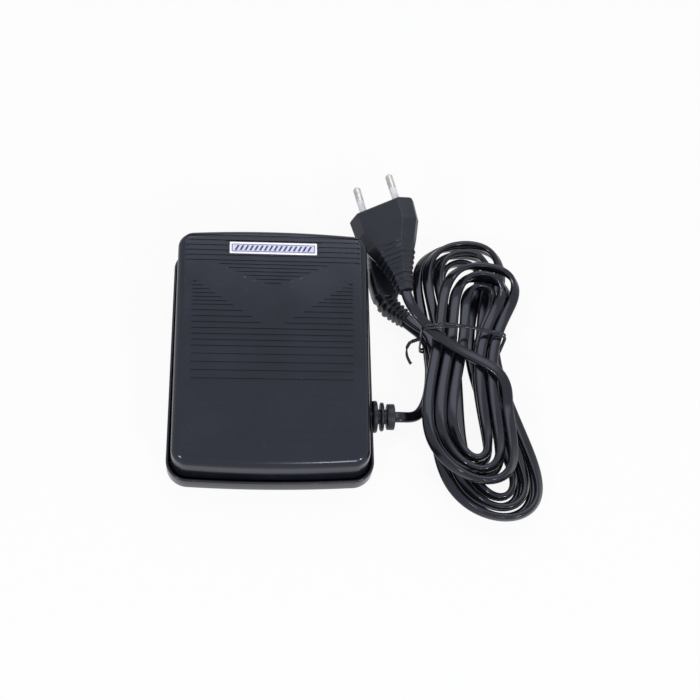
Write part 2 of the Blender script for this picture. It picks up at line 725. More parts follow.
@dataclass(frozen=True)
class Winding:
    """Flat cord wound in long turns about a waist, on two layers.

    A turn is the closed line x = c (half + swell s^2) + bow (2 y / (up + down))^2,
    y = (up + down) / 2 s - (down - up) / 2 s^2, with c and s the cosine and sine of its
    angle. Each turn lies one cord further in until `inward` turns are wound, and then the
    winding changes its layer and comes out again. A turn lies flat along its runs and
    rolls on edge at the lobes, by 90 degrees times s^4.
    """

    start: float
    inward: float
    outward: float
    layers: tuple[float, float]
    up: float
    down: float
    swell: float
    lean: float
    lift: float = 0.0
    waist: tuple[float, float] = (100.0, 8.5)
    waist_half: float = 18.5
    swell_step: float = 5.0
    bow: float = 9.0
    gap: float = 0.9
    lobe_gap: float = 1.0
    tie: float = 1.2
    cord_w: float = 5.4
    cord_t: float = 3.2

    def _line(self, angle: Array, inside: Array) -> Array:
        """The closed line that lies a number of cords inside the outermost one."""
        c, s = np.cos(np.radians(angle)), np.sin(np.radians(angle))
        half = self.waist_half - inside * (self.cord_w + self.gap)
        swell = self.swell - inside * self.swell_step
        drop = inside * (self.cord_t + self.gap + self.lobe_gap)
        up, down = self.up - drop, self.down - drop
        y = (up + down) / 2 * s - (down - up) / 2 * s * s
        return np.stack([c * (half + swell * s * s) + self.bow * (2 * y / (self.up + self.down)) ** 2, y], 1)

    def path(self, per_turn: int) -> tuple[Array, Array]:
        """Centre line and roll of the winding.

        Args:
            per_turn: points on one turn.

        Returns:
            (n, 3) points in millimetres and (n,) rolls in degrees.
        """
        turn = np.arange(math.floor(per_turn * (self.inward + self.outward) + 1e-6) + 1) / per_turn
        angle = self.start - 360 * turn
        inside = np.where(turn < self.inward, turn, 2 * self.inward - turn)
        climb = smoothstep((turn - self.inward) * 2 + 0.5)
        layer = self.layers[0] + (self.layers[1] - self.layers[0]) * climb
        edge = np.abs(np.sin(np.radians(angle))) ** 4
        roll = 90 * edge
        tilt = np.radians(roll)
        high = np.hypot(self.cord_w / 2 * np.sin(tilt), self.cord_t / 2 * np.cos(tilt))
        place = self._line(angle, inside)
        z = self.tie * (1 - edge) + (layer + 0.5) * (2 * high + self.gap) + self.lift
        c, s = math.cos(math.radians(self.lean)), math.sin(math.radians(self.lean))
        x = self.waist[0] + place[:, 0] * c - place[:, 1] * s
        y = self.waist[1] + place[:, 0] * s + place[:, 1] * c
        return np.stack([x, y, z], 1), roll


@dataclass(frozen=True)
class FlatCord:
    """Flat twin cord from one end to the other, its winding in the middle."""

    name: str
    winding: Winding
    lead: tuple[tuple[float, float, float], ...]
    tail: tuple[tuple[float, float, float], ...]
    nodes: tuple[str, ...]

    # Points on a turn, on a turn where the cord joins its winding, and the mesh's ring distance
    PER_TURN = 96
    COARSE = 24
    PITCH = 1.9

    def line(self) -> tuple[Array, Array]:
        """The whole centre line: lead, winding and tail, eased where they join.

        Returns:
            (n, 3) points in millimetres and (n,) rolls in degrees.
        """
        coarse, _ = self.winding.path(self.COARSE)
        wound, roll = self.winding.path(self.PER_TURN)
        width = self.winding.cord_w
        before = coarse[0] - width * unit(coarse[1] - coarse[0])
        after = coarse[-1] + width * unit(coarse[-1] - coarse[-2])
        lead = smooth_route(np.array([*self.lead, before, coarse[0]]), 8)
        tail = smooth_route(np.array([coarse[-1], after, *self.tail]), 8)
        points = np.concatenate([lead[:-1], wound, tail[1:]])
        rolls = np.concatenate([np.zeros(len(lead) - 1), roll, np.zeros(len(tail) - 1)])
        return resample(points, rolls, self.PITCH, 3)

    def section(self) -> Array:
        """Two round wires under one sheath: an oval with a slight waist in its flat faces."""
        angle = np.linspace(0, 2 * math.pi, 22, endpoint=False)
        c, s = np.cos(angle), np.sin(angle)
        half_w, half_t = self.winding.cord_w / 2, self.winding.cord_t / 2
        x = half_w * np.sign(c) * np.abs(c) ** 0.72
        y = half_t * np.sign(s) * np.abs(s) ** 0.62 * (1 - 0.06 * np.exp(-((x / 0.7) ** 2)))
        return np.stack([x, y], 1)

    def build(self, wardrobe: Wardrobe) -> tuple[bpy.types.Object, Array]:
        """Makes the cord's mesh.

        Args:
            wardrobe: the materials.

        Returns:
            The piece and its centre line in metres.
        """
        points, rolls = self.line()
        steps = np.arange(len(points))
        rolls = rolls + 3.0 * np.sin(steps * 0.11) * np.sin(steps * 0.037)
        surface = Surface()
        surface.loft(carried(points, self.section(), rolls, np.ones((len(points), 2))))
        made = surface.piece(self.name, Body.BASE, crease=60.0)
        wardrobe.dress(made, "cord_black")
        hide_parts(*self.nodes)
        return made, points * MM


# ---------------------------------------------------------------- tread cover


@dataclass(frozen=True)
class TreadCover:
    """Glossy cover of the pedal: a wedge with rounded rim and a grooved top."""

    width: float = 96.0
    length: float = 121.6
    toe_h: float = 43.0
    heel_h: float = 23.0
    wall: float = 2.2
    top: float = 2.4
    radius: float = 8.0
    fillet: float = 4.0
    bow: float = 1.8
    draft: float = 0.8
    skirt_heel: float = 7.0
    skirt_toe: float = 15.9
    groove_w: float = 0.9
    groove_d: float = 0.42
    groove_d_mid: float = 0.36
    groove_d_heel: float = 0.055
    toe_half: float = 43.5
    field_half: float = 40.0
    point_half: float = 27.0
    chevron: float = 54.0
    toe_rows: tuple[float, float, int] = (5.1, 2.66, 6)
    point_rows: tuple[float, float, int] = (20.3, 1.95, 6)
    side_rows: tuple[float, float, int] = (29.7, 2.0, 7)
    wide_rows: tuple[float, float, int] = (44.6, 3.0, 7)
    full_rows: tuple[float, float, int] = (66.6, 4.1, 4)
    heel_rows: tuple[float, float, int] = (84.5, 5.45, 6)
    rim_mark: tuple[float, float] = (45.2, 0.9)
    least_split: float = 1.5
    label_s: float = 11.3
    label_half: tuple[float, float] = (21.75, 3.15)
    recess: float = 0.3
    notch: tuple[float, float, float] = (-27.0, 6.5, 16.5)
    hinge: tuple[float, float] = (-52.5, 13.0)
    break_angle: float = 45.0
    straight: float = 0.9

    def along(self, y: Array, heel: float, toe: float) -> Array:
        """A height that runs from heel to toe."""
        return heel + (toe - heel) * (y + self.length / 2) / self.length

    def top_z(self, y: Array) -> Array:
        """Height of the top."""
        return self.along(y, self.heel_h, self.toe_h)

    @staticmethod
    def _places(rows: tuple[float, float, int]) -> list[float]:
        """Distances from the toe edge of a set of rows, given as start, pitch and count."""
        start, pitch, count = rows
        return [start + pitch * i for i in range(count)]

    def grooves(self) -> Array:
        """All grooves of the tread as rows of s, x0, x1 and depth.

        s is the distance from the toe edge. Six full grooves with a short mark at each rim
        lie round the label, six shorter and shorter ones point at the heel, the next two
        sets stop at the line of the chevron, and the rest open up and grow shallow towards
        the heel.
        """
        rows: list[tuple[float, float, float, float]] = []
        mark_x, mark_half = self.rim_mark
        for s in self._places(self.toe_rows):
            rows.append((s, -self.toe_half, self.toe_half, self.groove_d))
            rows += [(s, side * mark_x - mark_half, side * mark_x + mark_half, 0.8 * self.groove_d)
                     for side in (-1, 1)]
        for i, s in enumerate(self._places(self.point_rows)):
            x = self.point_half * (1 - i / self.point_rows[2])
            rows.append((s, -x, x, self.groove_d))
        for s in self._places(self.side_rows) + self._places(self.wide_rows):
            x = (self.field_half - 2) * (self.chevron - s) / (self.chevron - self.side_rows[0] + 0.7)
            if x > self.least_split:
                rows += [(s, x, self.field_half, self.groove_d), (s, -self.field_half, -x, self.groove_d)]
            else:
                rows.append((s, -self.field_half, self.field_half, self.groove_d))
        for places, deep in ((self.full_rows, self.groove_d_mid), (self.heel_rows, self.groove_d_heel)):
            rows += [(s, -self.field_half, self.field_half, deep) for s in self._places(places)]
        return np.array(rows)

    def groove_depth(self, x: Array, y: Array) -> Array:
        """Depth of the tread below the plain top: flat-bottomed grooves with steep walls."""
        depth = np.zeros_like(x)
        for s, x0, x1, deep in self.grooves():
            off = np.abs(y - (self.length / 2 - s)) / (self.groove_w / 2)
            near = off < 1.5
            if not near.any():
                continue
            across = np.clip((1.12 - off[near]) / 0.24, 0, 1)
            ends = smoothstep((x[near] - x0) / 1.6 + 0.1) * smoothstep((x1 - x[near]) / 1.6 + 0.1)
            depth[near] = np.maximum(depth[near], deep * across * ends)
        return depth

    def _rows(self, b: float, r: float) -> Array:
        """Row places: close at the grooves, the corners and the label, wide elsewhere."""
        offsets = np.array([-0.56, -0.44, 0.0, 0.44, 0.56]) * self.groove_w
        lines = (self.length / 2 - np.unique(self.grooves()[:, 0])[:, None] + offsets).ravel()
        corner = b - r + r * np.sin(np.radians(np.linspace(0, 90, 15)))
        label = self.length / 2 - self.label_s
        notch_y, notch_half, _ = self.notch
        marks = [label + side * self.label_half[1] + step for side in (-1, 1) for step in (-0.03, 0.03)]
        marks += [notch_y + side * notch_half + step for side in (-1, 1) for step in (-0.1, 0.1)]
        plain = np.concatenate([np.arange(-b + 2, b - 2, 1.6), marks])
        plain = plain[np.abs(plain[:, None] - lines[None, :]).min(1) > 0.09]
        every = np.sort(np.concatenate([lines, corner, -corner, plain]))
        every = every[(every >= -b) & (every <= b)]
        keep = np.concatenate([[True], np.diff(every) > 0.05])
        rows = every[keep]
        rows[-1] = b
        return rows

    def _columns(self) -> Array:
        """Column places as shares of the half width, close at the rim and the label's ends."""
        plain = np.linspace(-1, 1, 125)
        rim = 1 - np.array([0.004, 0.01, 0.018, 0.03, 0.042, 0.054])
        label = (self.label_half[0] + np.array([-0.03, 0.03])) / (self.width / 2 - 1.97)
        return np.unique(np.round(np.concatenate([plain, rim, -rim, label, -label]), 5))

    def build(self, wardrobe: Wardrobe) -> bpy.types.Object:
        """Makes the cover.

        The top is a height over a grid: the sloping plane, less the rim's rounding
        R - sqrt(R^2 - d^2) at distance d past the flat part, less the grooves. Its border
        runs on as rings that finish the rounding, go down the skirt, turn inside and end
        at the ceiling.

        Args:
            wardrobe: the materials.

        Returns:
            The cover.
        """
        big = self.fillet
        reach = big * math.sin(math.radians(self.break_angle))
        inset = self.draft + big - reach
        a, b = self.width / 2 - inset, self.length / 2 - self.bow - inset
        r = self.radius - inset
        rows, columns = self._rows(b, r), self._columns()
        past = np.clip(np.abs(rows) - (b - r), 0, r)
        half = a - r + np.sqrt(r * r - past * past)
        x = columns[None, :] * half[:, None]
        base = np.repeat(rows[:, None], len(columns), 1)
        ramp = smoothstep((np.abs(base) - (b - self.straight)) / self.straight)
        y = base + np.sign(base) * self.bow * (1 - (x / a) ** 2) * ramp
        z = self.top_z(y) - self._rim_drop(x, y, reach) - self._cuts(x, y)
        surface = Surface()
        surface.grid(np.stack([x, y, z], 2))
        loop = self._loop(x, y, base, a, b, r)
        self._skirt(surface, loop, inset, z)
        self._inside(surface)
        made = surface.piece("tread_cover", Body.PEDAL, crease=13.0)
        wardrobe.dress(made, "cover_black")
        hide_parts("top_cover")
        return made

    def _cuts(self, x: Array, y: Array) -> Array:
        """Depth of grooves and of the label's seat."""
        label_y = self.length / 2 - self.label_s
        seat = (np.abs(x) < self.label_half[0]) & (np.abs(y - label_y) < self.label_half[1])
        near = (np.abs(x) < self.label_half[0] + 1.2) & (np.abs(y - label_y) < self.label_half[1] + 0.4)
        return np.where(seat, self.recess, np.where(near, 0.0, self.groove_depth(x, y)))

    def _rim_drop(self, x: Array, y: Array, reach: float) -> Array:
        """How far the rounding has dropped at a place, from its distance to the flat part."""
        a = self.width / 2 - self.draft - self.fillet
        b = self.length / 2 - self.draft - self.fillet - self.bow
        r = self.radius - self.draft - self.fillet
        bowed = np.clip(1 - (x / (a + reach)) ** 2, 0, 1)
        plain = np.abs(y) - self.bow * bowed * np.clip(np.abs(y) / b, 0, 1) ** 6
        qx, qy = np.abs(x) - (a - r), plain - (b - r)
        d = np.hypot(np.maximum(qx, 0), np.maximum(qy, 0)) + np.minimum(np.maximum(qx, qy), 0) - r
        d = np.clip(d, 0, reach)
        return self.fillet - np.sqrt(self.fillet**2 - d**2)

    def _loop(self, x: Array, y: Array, base: Array, a: float, b: float, r: float) -> dict[str, Array]:
        """Border of the top grid, anticlockwise, with the outward normal at each point."""
        rows, cols = x.shape
        i = np.concatenate([np.zeros(cols - 1, int), np.arange(rows - 1), np.full(cols - 1, rows - 1),
                            np.arange(rows - 1, 0, -1)])
        j = np.concatenate([np.arange(cols - 1), np.full(rows - 1, cols - 1), np.arange(cols - 1, 0, -1),
                            np.zeros(rows - 1, int)])
        px, py, flat = x[i, j], y[i, j], base[i, j]
        nx = np.sign(px) * np.maximum(np.abs(px) - (a - r), 0)
        ny = np.sign(flat) * np.maximum(np.abs(flat) - (b - r), 0)
        normal = unit(np.stack([nx, ny], 1))
        return {"at": np.stack([px, py], 1), "normal": normal, "i": i, "j": j}

    def _skirt(self, surface: Surface, loop: dict[str, Array], inset: float, z: Array) -> None:
        """Adds the rings from the top's border down the skirt and up to the ceiling."""
        at, normal = loop["at"], loop["normal"]
        rings = [np.column_stack([at, z[loop["i"], loop["j"]]])]

        def ring(out: float, height: Array) -> Array:
            """The border moved outwards, at the given heights."""
            return np.column_stack([at + out * normal, height])

        outer = at + inset * normal
        for angle in np.radians(np.linspace(self.break_angle, 0, 7)[1:]):
            out = inset - self.draft - self.fillet * (1 - math.cos(angle))
            place = at + out * normal
            rings.append(ring(out, self.top_z(place[:, 1]) - self.fillet * (1 - math.sin(angle))))
        low = self.along(outer[:, 1], self.skirt_heel, self.skirt_toe)
        notch_y, notch_half, notch_z = self.notch
        cut = (outer[:, 0] > 0) & (np.abs(outer[:, 1] - notch_y) < notch_half)
        low = np.where(cut, np.maximum(low, notch_z), low)
        high = rings[-1][:, 2]
        for share in np.linspace(0, 1, 7)[1:-1]:
            rings.append(ring(inset - self.draft * (1 - share), high + (low - high) * share))
        rings.append(ring(inset, low + 0.5))
        rings.append(ring(inset - 0.15, low + 0.12))
        rings.append(ring(inset - 0.5, low))
        rings.append(ring(inset - self.wall, low))
        inner = inset - self.draft - self.wall
        rings.append(ring(inner, self.top_z(at[:, 1] + inner * normal[:, 1]) - self.top))
        surface.grid(np.array(rings), wrap=True)
        surface.cap(rings[-1])

    def _inside(self, surface: Surface) -> None:
        """Adds the hinge lugs, hooks, spring seats and ribs under the top."""
        pivot_y, pivot_z = self.hinge
        for side in (-1, 1):
            add_lug(surface, side * 31.0, 4.0, 4.05, 2.05, pivot_y, pivot_z,
                    self.top_z(pivot_y - 4.05) - self.top - pivot_z + 0.3)
            low, high = sorted((side * 27.0, side * 29.5))
            surface.box((low, 47.0, 16.0), (high, 53.0, self.top_z(50.0) - self.top + 0.2))
            low, high = sorted((side * 27.0, side * 34.0))
            surface.box((low, 47.0, 16.0), (high, 53.0, 18.4))
            seat = self.top_z(20.0) - self.top
            surface.turned(np.array([[2.6, seat - 4.4], [2.6, seat - 2.4], [7.1, seat - 2.4], [7.1, seat + 0.8]]),
                           (side * 28.0, 20.0, 0.0))
            y = 34.0 + side * 5.0
            surface.turned(np.array([[3.2, self.top_z(34.0) - 5.1], [3.2, self.top_z(y) - self.top + 0.6]]),
                           (17.9, y, 0.0))
        back, front = rib_ends = np.array([-42.0, 8.0])
        ceiling = self.top_z(rib_ends) - self.top
        for x in (-24.0, 0.0, 24.0):
            corners = [(back, ceiling[0] - 2), (front, ceiling[1] - 2), (front, ceiling[1] + 0.3),
                       (back, ceiling[0] + 0.3)]
            surface.loft(np.array([[[x + w, y, z] for y, z in corners] for w in (-0.8, 0.8)]))


def add_lug(surface: Surface, x: float, thick: float, radius: float, bore: float, y: float, z: float,
            web: float) -> None:
    """Adds a bored hinge lug: half a disc, and a web that runs up or down to what carries it.

    Args:
        surface: the surface that takes it.
        x: middle of the lug.
        thick: its thickness.
        radius: outer radius.
        bore: radius of the bore.
        y: place of the bore along Y.
        z: height of the bore.
        web: height of the web's end over the bore, negative for a web that runs down.
    """
    count = 32
    angle = np.linspace(0, 2 * math.pi, count, endpoint=False)
    c, s = np.cos(angle), np.sin(angle)
    outward = s * math.copysign(1, web) > 0.02
    reach = np.where(outward, abs(web) / np.maximum(np.abs(s), 0.02), radius)
    wide = np.where(outward, radius / np.maximum(np.abs(c), 1e-6), radius)
    span = np.minimum(reach, wide)
    outer = np.stack([span * c, span * s], 1)
    inner = bore * np.stack([c, s], 1)
    rings = [np.column_stack([np.full(count, x + side * thick / 2), y + loop[:, 0], z + loop[:, 1]])
             for side, loop in ((-1, outer), (1, outer), (1, inner), (-1, inner))]
    surface.loft(np.array(rings), closed=True)


@dataclass(frozen=True)
class Label:
    """Name plate's place: a pale plate with a rim, a dark border and plain slanted bars."""

    length: float = 43.5
    width: float = 6.3
    thick: float = 0.5
    s: float = 11.3
    sunk: float = 0.3
    bars: int = 16

    def build(self, cover: TreadCover, wardrobe: Wardrobe) -> None:
        """Makes the plate, its rim, the border and the bars, square to the cover's top."""
        y = cover.length / 2 - self.s
        slope = math.atan((cover.toe_h - cover.heel_h) / cover.length)
        place = Matrix.Translation((0, y, float(cover.top_z(y)))) @ Matrix.Rotation(slope, 4, "X")
        half_l, half_w = self.length / 2 - 0.05, self.width / 2 - 0.05
        face = self.thick - self.sunk
        rim = Surface()
        profile = [(0.0, -self.sunk), (0.0, face - 0.1), (0.12, face), (0.75, face), (0.85, face - 0.08),
                   (0.85, -self.sunk)]
        rings = [self._ring(half_l - inset, half_w - inset, z) for inset, z in profile]
        rim.loft(np.array(rings), closed=True)
        made = rim.piece("label_rim", Body.PEDAL, turn=place)
        wardrobe.dress(made, "label_lilac", wardrobe.rim)
        plate = Surface()
        plate.loft(np.array([self._ring(half_l - 0.86, half_w - 0.86, z) for z in (-self.sunk, face - 0.08)]))
        panel = plate.piece("label_panel", Body.PEDAL, turn=place)
        wardrobe.dress(panel, "label_lilac")
        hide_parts("label_plate")
        self._ink(wardrobe, place, half_l - 1.1, half_w - 1.1, face - 0.08)

    def _ring(self, half_l: float, half_w: float, z: float) -> Array:
        """A rectangle with small round corners at one height."""
        corners = np.array([[half_l, half_w], [-half_l, half_w], [-half_l, -half_w], [half_l, -half_w]])
        plan = rounded_polygon(corners, 0.25, 4)
        return np.column_stack([plan, np.full(len(plan), z)])

    def _ink(self, wardrobe: Wardrobe, place: Matrix, half_l: float, half_w: float, z: float) -> None:
        """The dark border line and the row of slanted bars, a hair above the plate."""
        ink = Surface()
        raised = z + 0.03
        profile = [(0.0, z - 0.02), (0.0, raised), (0.3, raised), (0.3, z - 0.02)]
        ink.loft(np.array([self._ring(half_l - inset, half_w - inset, height) for inset, height in profile]),
                 closed=True)
        margin, half, lean, tall = 2.6, 0.52, 0.7, half_w - 0.66
        for x in np.linspace(-half_l + margin, half_l - margin, self.bars):
            corners = [(x - half - lean, -tall), (x + half - lean, -tall), (x + half + lean, tall),
                       (x - half + lean, tall)]
            ink.loft(np.array([[[u, v, height] for u, v in corners] for height in (z - 0.02, raised)]))
        made = ink.piece("label_ink", Body.PEDAL, turn=place)
        wardrobe.dress(made, "label_lilac", wardrobe.ink)


# ---------------------------------------------------------------- tray and grommet


@dataclass(frozen=True)
class Tray:
    """Shallow tray under the cover, its rim highest at the toe."""

    width: float = 100.0
    length: float = 127.0
    radius: float = 10.0
    bow: float = 1.8
    wall: float = 1.5
    underside: float = 1.5
    floor: float = 4.0
    rim_heel: float = 10.0
    rim_toe: float = 18.0
    cover_length: float = 121.6
    hinge: tuple[float, float] = (-52.5, 13.0)

    def build(self, wardrobe: Wardrobe) -> bpy.types.Object:
        """Makes the tray: rings from the underside up the wall, over the rim and down to the floor.

        Args:
            wardrobe: the materials.

        Returns:
            The tray.
        """
        half = self.wall / 2
        profile: list[tuple[float, float, bool]] = []
        for angle in np.radians(np.linspace(90, 0, 6)):
            profile.append((0.8 * (1 - math.cos(angle)), self.underside + 0.8 * (1 - math.sin(angle)), False))
        for angle in np.radians(np.linspace(0, 180, 13)):
            profile.append((half * (1 - math.cos(angle)), -half * (1 - math.sin(angle)), True))
        for angle in np.radians(np.linspace(0, 90, 5)):
            profile.append((self.wall + (1 - math.cos(angle)), self.floor + (1 - math.sin(angle)), False))
        rings = [self._ring(inset, height, on_rim) for inset, height, on_rim in profile]
        surface = Surface()
        surface.grid(np.array(rings), wrap=True)
        surface.cap(rings[0])
        surface.cap(rings[-1])
        self._inside(surface)
        made = surface.piece("tray_shell", Body.BASE, crease=40.0)
        wardrobe.dress(made, "tray_black")
        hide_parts("base_tray")
        return made

    def _ring(self, inset: float, height: float, on_rim: bool) -> Array:
        """The tray's outline moved in, at a level height or at a height from the sloping rim."""
        plan = bowed_outline(self.width - 2 * inset, self.length - 2 * inset, self.radius - inset, self.bow)
        share = (plan[:, 1] + self.cover_length / 2) / self.cover_length
        rim = self.rim_heel + (self.rim_toe - self.rim_heel) * share
        return np.column_stack([plan, rim + height if on_rim else np.full(len(plan), height)])

    def _inside(self, surface: Surface) -> None:
        """Adds hinge lugs, hook posts, spring cups, board bosses and the cord's saddle."""
        pivot_y, pivot_z = self.hinge
        floor = self.floor - 0.2
        for side in (-1, 1):
            add_lug(surface, side * 36.0, 4.0, 4.05, 2.0, pivot_y, pivot_z, floor - pivot_z)
            low, high = sorted((side * 36.0, side * 38.5))
            surface.box((low, 46.5, floor), (high, 53.5, 21.0))
            low, high = sorted((side * 31.0, side * 36.5))
            surface.box((low, 46.5, 18.7), (high, 53.5, 21.0))
            cup = np.array([[8.0, floor], [8.0, 8.0], [6.6, 8.0], [6.6, floor]])
            ring = circle(1.0, 40)
            rings = [np.column_stack([side * 28.0 + radius * ring[:, 0], 20.0 + radius * ring[:, 1],
                                      np.full(40, z)]) for radius, z in cup]
            surface.loft(np.array(rings), closed=True)
            for end in (-1, 1):
                surface.turned(np.array([[3.0, floor], [3.0, 6.0]]), (side * 16.0, 4.0 + end * 36.0, 0.0))
        surface.box((33.5, -35.8, floor), (38.5, -18.2, 6.9))


@dataclass(frozen=True)
class Grommet:
    """Strain relief of three discs on a neck, through which the flat cord leaves."""

    wall_x: float = 50.0
    y: float = -27.0
    z: float = 8.5
    end: float = 11.0

    def build(self, wardrobe: Wardrobe) -> bpy.types.Object:
        """Turns the grommet as one profile along X, with a rounded edge on every disc."""
        discs = [(8.0, 0.0, 2.3), (7.2, 4.0, 5.6), (6.5, 7.2, self.end)]
        neck = 3.7
        profile: list[tuple[float, float]] = [(0.01, -3.7), (4.4, -3.7), (4.4, -1.5), (neck, -1.5), (neck, 0.0)]
        for radius, start, stop in discs:
            edge = min(0.55, (stop - start) / 2.4)
            profile.append((neck, start))
            for angle in np.radians(np.linspace(-90, 90, 9)):
                middle = start + edge if angle < 0 else stop - edge
                profile.append((radius - edge + edge * math.cos(angle), middle + edge * math.sin(angle)))
            profile.append((neck, stop))
        profile[-1] = (0.01, self.end)
        surface = Surface()
        surface.turned(np.array(profile), (self.wall_x, self.y, self.z), axis=0, count=72)
        made = surface.piece("cord_grommet", Body.BASE, crease=50.0)
        wardrobe.dress(made, "grommet_black")
        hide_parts("strain_relief")
        return made


# ---------------------------------------------------------------- plug, connector and tie


@dataclass(frozen=True)
class MainsPlug:
    """Flat two-pin plug: a faceted body that narrows to a ribbed grip and a ribbed boot."""

    width: float = 35.3
    thick: float = 13.7
    boot_end: float = 52.0
    first_rib: float = 25.6
    rib_pitch: float = 2.8
    rib_high: float = 0.8
    ribs_end: float = 50.6
    at: tuple[float, float, float] = (57.0, 85.0, 26.4)
    pitch: float = -2.0
    roll: float = -24.0
    yaw: float = 11.6

    def placing(self) -> Matrix:
        """Where the plug lies: rolled, pitched and turned about its pin face."""
        return (Matrix.Translation(self.at) @ Matrix.Rotation(math.radians(self.yaw), 4, "Z")
                @ Matrix.Rotation(math.radians(self.pitch), 4, "X")
                @ Matrix.Rotation(math.radians(self.roll), 4, "Y"))

    def build(self, wardrobe: Wardrobe) -> bpy.types.Object:
        """Makes the body.

        Sections are eight-cornered with a sloping facet along each edge. Width and
        thickness follow the distance behind the pin face. Ribs stand out along the crests
        of a cosine of that distance: the first two only on the flat faces, the others
        all round.

        Args:
            wardrobe: the materials.

        Returns:
            The body.
        """
        back = np.concatenate([[0.0, 0.15, 0.5, 1.0], np.linspace(1.6, self.boot_end, 230)])
        stations = np.array([0.0, 0.5, 1.6, 14.0, 24.0, 32.0, 42.0, 52.0])
        widths = np.array([31.5, 33.6, self.width, self.width - 1.5, 26.0, 18.4, 11.0, 7.6])
        thicks = np.array([10.4, 12.2, self.thick - 0.3, self.thick, self.thick - 0.4, 12.0, 8.6, 5.8])
        wide = np.interp(back, stations, widths) / 2
        high = np.interp(back, stations, thicks) / 2
        facet = np.interp(back, [0, 2, 22, 34, 52], [4.6, 6.6, 6.0, 3.8, 1.6])
        rings = []
        for distance, w, h, f in zip(back, wide, high, facet):
            rings.append(self._ring(distance, w, h, min(f, w * 0.5)))
        surface = Surface()
        surface.loft(np.array(rings))
        made = surface.piece("mains_plug", Body.BASE, crease=55.0, turn=self.placing())
        wardrobe.dress(made, "plug_black")
        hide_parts("plug_body")
        return made

    def _ring(self, distance: float, w: float, h: float, facet: float) -> Array:
        """One section, with the ribs of grip and boot raised on it."""
        edge = h * 0.3
        corners = np.array([[w, edge], [w - facet, h], [-w + facet, h], [-w, edge], [-w, -edge], [-w + facet, -h],
                            [w - facet, -h], [w, -edge]])
        arc = 6
        plan = rounded_polygon(corners, min(0.8, h * 0.25), arc)
        flat = np.linspace(0, 1, 9)[1:-1, None]
        top, low = 2 * arc, 6 * arc
        plan = np.concatenate([plan[:top], plan[top - 1] + flat * (plan[top] - plan[top - 1]), plan[top:low],
                               plan[low - 1] + flat * (plan[low] - plan[low - 1]), plan[low:]])
        first, pitch = self.first_rib, self.rib_pitch
        wave = smoothstep(1.5 * np.cos(2 * math.pi * (distance - first) / pitch) + 0.3)
        on_face = smoothstep((w - facet - 0.6 - np.abs(plan[:, 0])) / 0.6)
        around = smoothstep((distance - first - 1.5 * pitch) / 0.3)
        within = smoothstep((distance - first + pitch / 2) / 0.3) * smoothstep((self.ribs_end - distance) / 0.6)
        raise_by = self.rib_high * within * wave * np.maximum(on_face, around)
        out = unit(plan / [max(w, 0.1), max(h, 0.1)])
        plan = plan + out * raise_by[:, None]
        return np.column_stack([plan[:, 0], np.full(len(plan), -distance), plan[:, 1]])


# Where the connector's boot ends, and the direction in which the cords enter it
BOOT_END = (70.0, 29.5)
BOOT_LEAD = (4.6, -4.3, 0.0)


